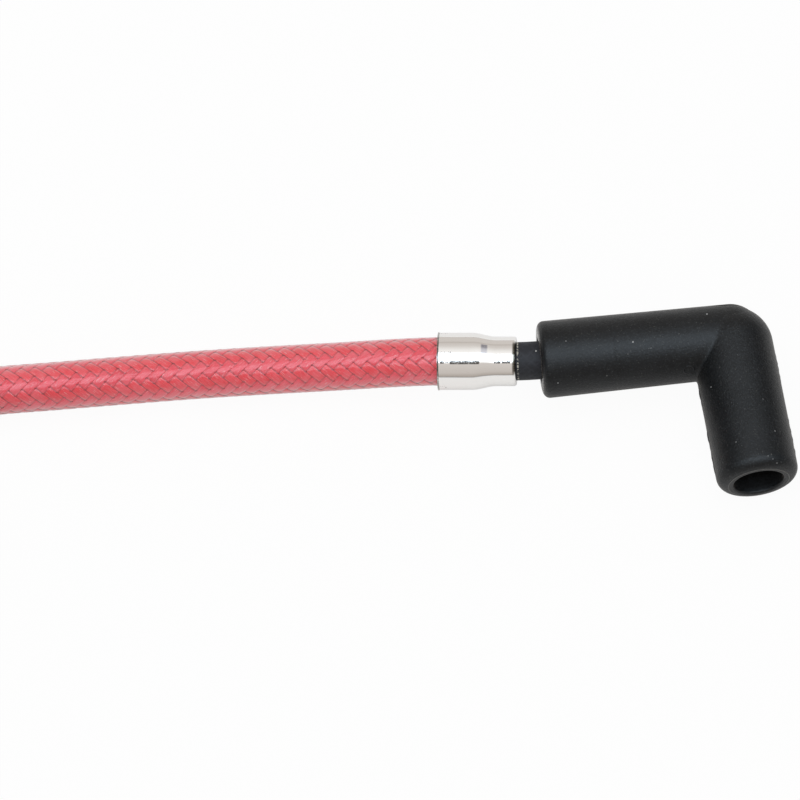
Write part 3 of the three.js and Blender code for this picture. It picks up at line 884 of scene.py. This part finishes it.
def plugBootBody():
    sizes = plugBoot
    end, root = sizes["wireLegEndDiameter"] / 2, sizes["wireLegRootDiameter"] / 2
    plug = sizes["plugLegDiameter"] / 2
    face, mouth = sizes["wireLegLength"], sizes["plugLegLength"]
    edgeAlong, edgeAcross = sizes["wireLegEdge"]
    wireLeg = [
        *rounded(0, 0, sizes["elbowEnd"], root, 180, 90, 16),
        *rounded(face - edgeAlong, end - edgeAcross, edgeAlong, edgeAcross, 90, 0),
        (face, 0),
    ]
    elbow, back, rim = sizes["elbowRounding"], sizes["elbowBack"], sizes["mouthRounding"]
    plugLeg = [
        (-back, 0),
        *rounded(elbow - back, plug - elbow, elbow, elbow, 180, 90, 20),
        *rounded(mouth - rim, plug - rim, rim, rim, 90, 0, 12),
        (mouth, 0),
    ]
    risen = bend + np.array([0, 0, sizes["wireLegRise"]])
    wireLegWay = unit(bend + face * toWire - risen)
    body = closedObject("plug_boot_body", [
        turned(wireLeg, risen, wireLegWay, 160, False)[:2],
        turned(plugLeg, bend, toPlug, 160, False)[:2],
    ])
    body.data = modified(
        body,
        ("REMESH", {"mode": "VOXEL", "voxel_size": sizes["voxel"] * mm}),
        ("SMOOTH", {"factor": 0.5, "iterations": sizes["smoothing"]}),
    )
    return body


def plugBootBores():
    sizes = plugBoot
    chamber, past = sizes["chamber"] / 2, 1
    wireBore, flare, depth = sizes["wireBore"] / 2, sizes["wireBoreFlare"], sizes["wireBoreFlareDepth"]
    face, mouth = sizes["wireLegLength"], sizes["plugLegLength"]
    bore, edge = sizes["mouthBore"] / 2, sizes["mouthBoreEdge"]
    socketEnd = mouth - sizes["mouthBoreDepth"]
    wireWay = [
        (0, 0), (0, chamber), (sizes["chamberEnd"], chamber), (sizes["chamberEnd"], wireBore),
        *[(face - depth + depth * t, wireBore + flare * t * t) for t in np.linspace(0, 1, 7)],
        (face + past, wireBore + flare), (face + past, 0),
    ]
    plugWay = [
        (-chamber, 0), *rounded(0, 0, chamber, chamber, 180, 90, 10)[1:],
        (socketEnd, chamber), (socketEnd, bore),
        *rounded(mouth - edge, bore + edge, edge, edge, 270, 360, 7),
        (mouth + past, bore + edge), (mouth + past, 0),
    ]
    return (
        closedObject("wire_way", [turned(wireWay, bend, toWire, 96, False)[:2]]),
        closedObject("plug_way", [turned(plugWay, bend, toPlug, 96, False)[:2]]),
    )


def rubberFinish(name, marks=None):
    finish = newFinish(name)
    place = objectPlace(finish)
    cloud = finish.noise(place, 0.16, 3.0, 0.55)
    grain = finish.noise(place, 2.6, 5.0, 0.65)
    pores = finish.noise(place, 2.4, 3.0, 0.7)
    cells = finish.node("ShaderNodeTexVoronoi", {"feature": "F1"}, {"Vector": place, "Scale": 0.7})
    pick = finish.parts(Signal(finish, cells.socket.node.outputs["Color"]))
    speck = finish.eased(cells - pick[1] * 0.1, 0.07, -0.02)
    speck = speck * finish.eased(pick[0], rubber["dustShare"], 0.0)
    tiny = finish.eased(finish.noise(place, 3.3, 2.0, 0.6), 0.64, 0.72)
    grey = rubber["grey"]
    base = finish.mixed(finish.eased(cloud, 0.35, 0.7) * rubber["cloudShare"], rubber["black"], grey)
    base = finish.mixed(finish.eased(grain, 0.55, 0.8) * rubber["grainShare"], base, grey)
    base = finish.mixed(finish.eased(pores, 0.5, 0.72) * rubber["poreShare"], base, grey)
    base = finish.mixed(speck * rubber["speckShare"] + tiny * rubber["tinyShare"], base, rubber["dust"])
    height = grain * 0.9 + pores * 0.8
    rough = rubber["roughness"] + 0.14 * grain
    if marks:
        for spot, share in marks["flecks"]:
            gap = finish.measured("DISTANCE", place, tuple(spot)) + (pores - 0.5) * 0.12
            size = rubber["fleckSize"] * share
            near = finish.eased(gap, size, 0.3 * size)
            base = finish.mixed(near * (0.35 + share * 0.5), base, rubber["fleck"])
        gap = finish.measured("DISTANCE", place, tuple(marks["pin"]))
        ring = finish.eased(abs(gap - rubber["pinRadius"]), 0.2, 0.04)
        fromBend = place - tuple(bend)
        along = finish.measured("DOT_PRODUCT", fromBend, tuple(toWire))
        line = finish.eased(abs(along - rubber["insertLine"]), 0.2, 0.04)
        base = finish.mixed(ring * 0.12 + line * 0.1, base, grey)
        # the wire leg's cut end is smoother than the moulded skin
        face, mouth = plugBoot["wireLegLength"], plugBoot["plugLegLength"]
        rough = rough - finish.eased(along, face - 0.25, face - 0.1) * 0.28
        # fine ridge where the mouth's rounding ends, with a painted highlight along it
        down = finish.measured("DOT_PRODUCT", fromBend, tuple(toPlug))
        offAxis = finish.measured("LENGTH", fromBend * (1.0, 0.0, 1.0))
        ridge = finish.eased(abs(offAxis - rubber["mouthRidge"]), 0.16, 0.03)
        ridge = ridge * finish.eased(down, mouth - 0.9, mouth - 0.6)
        base = finish.mixed(ridge * 0.35 * finish.eased(pores, 0.3, 0.6, 0.4, 1.0), base, rubber["dust"])
        # painted shade inside the bore, which is also duller
        bore = plugBoot["mouthBore"] / 2
        hollow = finish.eased(down, mouth - 0.3, mouth - 1.6)
        hollow = hollow * finish.eased(offAxis, bore + 0.4, bore + 0.1)
        base = finish.mixed(hollow, base, rubber["hollow"])
        rough = rough + hollow * 0.4
        height = height + ring * 0.8 + line * 0.5 + ridge * 1.5
    return finish.surface(
        BaseColor=base,
        Roughness=rough,
        SpecularIORLevel=rubber["shine"],
        SheenWeight=rubber["sheen"],
        SheenRoughness=rubber["sheenRoughness"],
        SheenTint=rubber["sheenTint"],
        Normal=finish.bumped(height, rubber["bump"], 0.8),
    )


bootObject = plugBootBody()
wireWay, plugWay = plugBootBores()
bootMesh = modified(
    bootObject,
    ("BOOLEAN", {"operation": "DIFFERENCE", "solver": "EXACT", "object": wireWay}),
    ("BOOLEAN", {"operation": "DIFFERENCE", "solver": "EXACT", "object": plugWay}),
)
for scrap in (bootObject, wireWay, plugWay):
    bpy.data.objects.remove(scrap)
boot = finishedPiece("plug_boot_rubber", bootMesh, None, 34)


def onBoot(across, down):  # the point of the boot that a pixel of the picture shows
    way = Vector(sightLine(across, down))
    hit, place, _, _ = boot.ray_cast(Vector(eye * mm), way)
    return np.array(place) / mm if hit else bend


marks = {
    "flecks": [(onBoot(across, down), share) for across, down, share in rubber["flecks"]],
    "pin": onBoot(*rubber["pinMark"]),
}
boot.data.materials.clear()
boot.data.materials.append(rubberFinish("plug_boot_rubber_finish", marks))
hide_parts("plug_boot")
print("plug boot moulded:", len(boot.data.polygons), "faces")


# thin flash where the boot's mould parts
flash = {
    "height": 0.16,
    "width": 0.3,
    "step": 0.5,
    "seed": 11,
    "firstLevel": 0.4,  # share of the height
    "change": 0.45,  # most that the level changes from step to step
    "taperSteps": 3,
    "sunk": 0.2,  # how deep its foot lies in the rubber
    "clear": 1.6,  # where the inner run stops short of the wire leg
}


def layFlash():
    sizes = plugBoot
    draw = random.Random(flash["seed"])
    half, root = sizes["plugLegDiameter"] / 2, sizes["wireLegRootDiameter"] / 2
    mouth = sizes["plugLegLength"] - sizes["mouthRounding"]
    runs = [(-1, -root - flash["clear"]), (1, 0)]  # plug leg, inner side, then outer side
    points, faces = [], []
    wide = np.array([0, 0, flash["width"] / 2])
    for side, inward in runs:
        out = np.array([side, 0, 0])
        first, last = bend + np.array([side * half, -mouth, 0]), bend + np.array([side * half, inward, 0])
        count = int(np.linalg.norm(last - first) / flash["step"])
        level, base = flash["firstLevel"], len(points)
        for i in range(count + 1):
            level = min(1, max(0, level + draw.uniform(-flash["change"], flash["change"])))
            taper = min(1, i / flash["taperSteps"], (count - i) / flash["taperSteps"])
            centre = first + (last - first) * i / count
            foot, tip = centre - out * flash["sunk"], centre + out * flash["height"] * level * taper
            points += [foot + wide, tip + wide * 0.2, tip - wide * 0.2, foot - wide]
        faces += gridFaces(count + 1, 4, True, False, base).tolist()
        faces += [[base + 3, base + 2, base + 1, base], [base + 4 * count + k for k in range(4)]]
    return np.array(points), faces


points, faces = layFlash()
meshPiece("plug_boot_flash", points, faces, rubberFinish("flash_finish"), 60)
print("mould flash laid")


# straight coil boot
coilBoot = {
    "wireLeg": 16.3,
    "wireLegLength": 24,
    "flare": 7,
    "socket": 20.4,
    "socketLength": 29,
    "rounding": 1.6,
    "bore": 14,
    "boreDepth": 18,
    "boreEdge": 0.5,
    "barrelReach": 10.9,  # from the wire's end back to the crimp barrel's
}


def coilBootProfile():
    sizes = coilBoot
    thin, wide = sizes["wireLeg"] / 2, sizes["socket"] / 2
    edgeAlong, edgeAcross = plugBoot["wireLegEdge"]
    flareStart, flareEnd = sizes["wireLegLength"], sizes["wireLegLength"] + sizes["flare"]
    end = flareEnd + sizes["socketLength"]
    shoulder = end - sizes["boreDepth"]
    chamber, bore = plugBoot["chamber"] / 2, sizes["bore"] / 2
    wireBore, rim, edge = plugBoot["wireBore"] / 2, sizes["rounding"], sizes["boreEdge"]
    mouthDepth, mouthFlare = plugBoot["wireBoreFlareDepth"], plugBoot["wireBoreFlare"]
    barrelBack = lead["coilWireEnd"] - sizes["barrelReach"]
    flare = [
        (flareStart + sizes["flare"] * t, thin + (wide - thin) * t * t * (3 - 2 * t))
        for t in np.linspace(0, 1, 13)
    ]
    return [
        *rounded(edgeAlong, thin - edgeAcross, edgeAlong, edgeAcross, 180, 90),
        *flare,
        *rounded(end - rim, wide - rim, rim, rim, 90, 0),
        *rounded(end - edge, bore + edge, edge, edge, 0, -90, 5),
        (shoulder, bore), (shoulder, chamber), (barrelBack, chamber), (barrelBack, wireBore),
        *[(mouthDepth * (1 - t), wireBore + mouthFlare * t * t) for t in np.linspace(0, 1, 6)],
    ]


points, faces, _ = turned(coilBootProfile(), coilFace, toCoil, 128)
coilFinish = rubberFinish("coil_boot_rubber_finish")
coilPiece = meshPiece("coil_boot_rubber", points, faces, coilFinish, 34)
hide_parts("coil_boot")
print("coil boot moulded")


# strap round the folded lead
tie = {
    "thickness": 1,
    "width": 8,
    "fit": 0.3,
    "fromNeck": 9,  # how far back it lies
    "neckPoint": 12,  # the route's laid point that it lies beside
    "edge": 0.3,
    "rib": 0.8,
    "black": tint(30, 31, 33),
    "grey": tint(56, 57, 60),
}


def tieFinish():
    finish = newFinish("tie_black")
    place = objectPlace(finish)
    along = finish.parts(place)[0]
    ribs = finish.scalar("SINE", along * (2 * math.pi / tie["rib"]))
    grain = finish.noise(place, 2.0, 4.0, 0.6)
    base = finish.mixed(finish.eased(ribs, 0.2, 1.0) * 0.4 + grain * 0.2, tie["black"], tie["grey"])
    normal = finish.bumped(ribs * 0.6 + grain * 0.4, 0.1, 0.8)
    return finish.surface(BaseColor=base, Roughness=0.5 + 0.15 * grain, Normal=normal)


def layTie():
    neck, back = laid[tie["neckPoint"]], laid[-1]
    middle, spacing = (neck + back) / 2, np.linalg.norm(neck - back)
    middle = middle - np.array([tie["fromNeck"], 0, 0])
    inner = lead["sleeveDiameter"] / 2 + tie["fit"]
    edge, half, thick = tie["edge"], tie["width"] / 2, tie["thickness"]
    # section of the strap, as (along, outwards)
    section = [
        (-half, edge), (-half + edge, 0), (half - edge, 0), (half, edge),
        (half, thick - edge), (half - edge, thick), (-half + edge, thick), (-half, thick - edge),
    ]
    path = []
    for side in (1, -1):
        for angle in np.radians(np.linspace(-90, 90, 25)):
            path.append((side * spacing / 2, side * math.cos(angle), side * math.sin(angle)))
    points = []
    for shift, wide, high in path:
        out = np.array([0, wide, high])
        centre = middle + np.array([0, shift, 0])
        points += [centre + out * (inner + o) + np.array([a, 0, 0]) for a, o in section]
    return np.array(points), gridFaces(len(path), len(section), True, True)


points, faces = layTie()
tiePiece = meshPiece("hank_strap", points, faces, tieFinish(), 50)
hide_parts("hank_tie")
print("strap closed")


# metal and yarn that show through the boots' mouths
inner = {
    "steel": tint(186, 180, 168),
    "dull": tint(120, 112, 100),
    "spring": tint(172, 176, 182),
    "yarn": tint(52, 48, 44),
    "yarnPale": tint(96, 90, 82),
}


def stampedFinish(name, bright, dull, roughness):
    finish = newFinish(name)
    place = objectPlace(finish)
    stain = finish.noise(place, 0.5, 4.0, 0.6)
    fine = finish.noise(place * (1.0, 6.0, 6.0), 1.5, 3.0, 0.5)
    base = finish.mixed(finish.eased(stain, 0.45, 0.75) * 0.6, bright, dull)
    rough, normal = roughness + 0.25 * stain, finish.bumped(fine, 0.02, 0.6)
    return finish.surface(BaseColor=base, Metallic=1.0, Roughness=rough, Normal=normal)


def yarnFinish():
    finish = newFinish("core_yarn_black")
    place = objectPlace(finish)
    twist = finish.node(
        "ShaderNodeTexWave", None, {"Vector": place, "Scale": 0.8, "Distortion": 1.5, "Detail": 2.0}, out=1
    )
    base = finish.mixed(twist * 0.6, inner["yarn"], inner["yarnPale"])
    return finish.surface(BaseColor=base, Roughness=0.85, Normal=finish.bumped(twist, 0.1, 0.8))


steel = stampedFinish("terminal_steel", inner["steel"], inner["dull"], 0.28)
springSteel = stampedFinish("clip_steel", inner["spring"], inner["dull"], 0.22)
for node, finish in {
    "plug_terminal": steel,
    "coil_terminal": steel,
    "plug_terminal_clip": springSteel,
    "coil_terminal_clip": springSteel,
    "conductor_core": yarnFinish(),
}.items():
    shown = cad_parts[node]
    shown.data.materials.clear()
    shown.data.materials.append(finish)
    shown.data.shade_smooth()
    shown.data.set_sharp_from_angle(angle=math.radians(30))
print("inner metal finished")


round(sleeveLength * mm, 3)


# floor and light
studio = {
    "floorSize": 6,  # metres each way
    "floorWhite": 0.92,
    "floorGlow": 0.955,  # share of plain white that the camera sees, the rest is lit
    "floorShine": 0.35,  # the same share in reflections
    "floorFade": (0.05, 0.3, 0.35),  # reflections of the floor further off: from, to, what is left
    "skyLight": 0.52,
    # brightness that reflections meet, by degrees from overhead towards the front
    "tent": [
        (-90, 0.62), (-62, 0.62), (-58, 0.5), (-52, 0.6), (-40, 0.66), (-24, 0.86), (-10, 1.0),
        (-2, 3.2), (24, 3.2), (31, 1.0), (36, 0.64), (74, 0.56), (88, 0.42), (90, 0.42),
    ],
    "sideways": (0.42, 0.9, 0.08),  # the tent's darker ends: from, to, what is left
    "tentWarmth": (1.0, 1.12, 1.22),  # powers that make its darker parts warm
    "keyPower": 7.2,  # watts
    "keySize": 1.38,  # metres
    "keyPlace": (-0.3, 0.3, 1.3),
}


def raysOf(finish):  # 1 where the camera looks, a mirror looks, and glass looks
    path = finish.node("ShaderNodeLightPath").socket.node.outputs
    names = ("Is Camera Ray", "Is Glossy Ray", "Is Transmission Ray")
    return [Signal(finish, path[name]) for name in names]


def layFloor():
    half = studio["floorSize"] / 2
    corners = [(-half, -half, 0), (half, -half, 0), (half, half, 0), (-half, half, 0)]
    mesh = bpy.data.meshes.new("floor")
    mesh.from_pydata(corners, [], [(0, 1, 2, 3)])
    floor = bpy.data.objects.new("floor", mesh)
    scene.collection.objects.link(floor)
    finish = newFinish("floor_white")
    lit = finish.node("ShaderNodeBsdfDiffuse", None, {"Color": (studio["floorWhite"],) * 3 + (1.0,)})
    glow = finish.node("ShaderNodeEmission", None, {"Color": (1, 1, 1, 1), "Strength": 1.0})
    dark = finish.node("ShaderNodeEmission", None, {"Color": (0, 0, 0, 1), "Strength": 1.0})
    camera, mirror, glass = raysOf(finish)
    looks = finish.scalar("MINIMUM", camera + mirror + glass, 1.0)
    share = looks * studio["floorGlow"] - mirror * (studio["floorGlow"] - studio["floorShine"])
    # further off, past the bend and towards the viewer, the floor is duller in reflections
    place = finish.parts(finish.node("ShaderNodeTexCoord", out=3))
    beyond = finish.scalar("MAXIMUM", place[0] - bend[0] * mm, 0.0)
    before = finish.scalar("MINIMUM", place[1], 0.0)
    away = finish.measured("LENGTH", finish.joined(beyond, before, 0.0))
    near, far, left = studio["floorFade"]
    dull = mirror * finish.eased(away, near, far, 0.0, 1 - left)
    shown = finish.node("ShaderNodeMixShader", None, {0: share, 1: lit, 2: glow})
    finish.output(finish.node("ShaderNodeMixShader", None, {0: dull, 1: shown, 2: dark}))
    mesh.materials.append(finish.owner)


def hangSky():
    scene.world = bpy.data.worlds.new("sky")
    finish = Finish(scene.world)
    camera, mirror, glass = raysOf(finish)
    way = finish.parts(finish.node("ShaderNodeTexCoord", out=0))
    fromTop = finish.angleTurned(way[1] * -1.0, way[2])
    brightest = max(level for _, level in studio["tent"])
    stops = []
    for angle, level in studio["tent"]:
        tone = [level / brightest * level ** (power - 1) for power in studio["tentWarmth"]]
        stops.append(((angle + 90) / 180, (*tone, 1.0)))
    tent = finish.node("ShaderNodeValToRGB", {"stops": stops}, {0: (fromTop + 90) / 180})
    near, far, left = studio["sideways"]
    tent = tent * finish.eased(abs(way[0]), near, far, 1.0, left)
    plain, dull = (1.0, 1.0, 1.0, 1.0), (studio["skyLight"],) * 3 + (1.0,)
    colour = finish.mixed(mirror, finish.mixed(camera + glass, dull, plain), tent)
    strength = 1 + mirror * (brightest - 1)
    back = finish.node("ShaderNodeBackground", None, {"Color": colour, "Strength": strength})
    finish.output(back, "ShaderNodeOutputWorld")


def hangLamp():
    light = bpy.data.lights.new("key", "AREA")
    light.energy = studio["keyPower"]
    light.size = studio["keySize"]
    lamp = bpy.data.objects.new("key", light)
    scene.collection.objects.link(lamp)
    lamp.location = studio["keyPlace"]
    lamp.rotation_euler = (Vector(aim * mm) - lamp.location).to_track_quat("-Z", "Y").to_euler()
    lamp.visible_glossy = False  # the sky has its reflection


layFloor()
hangSky()
hangLamp()
print("studio lit")
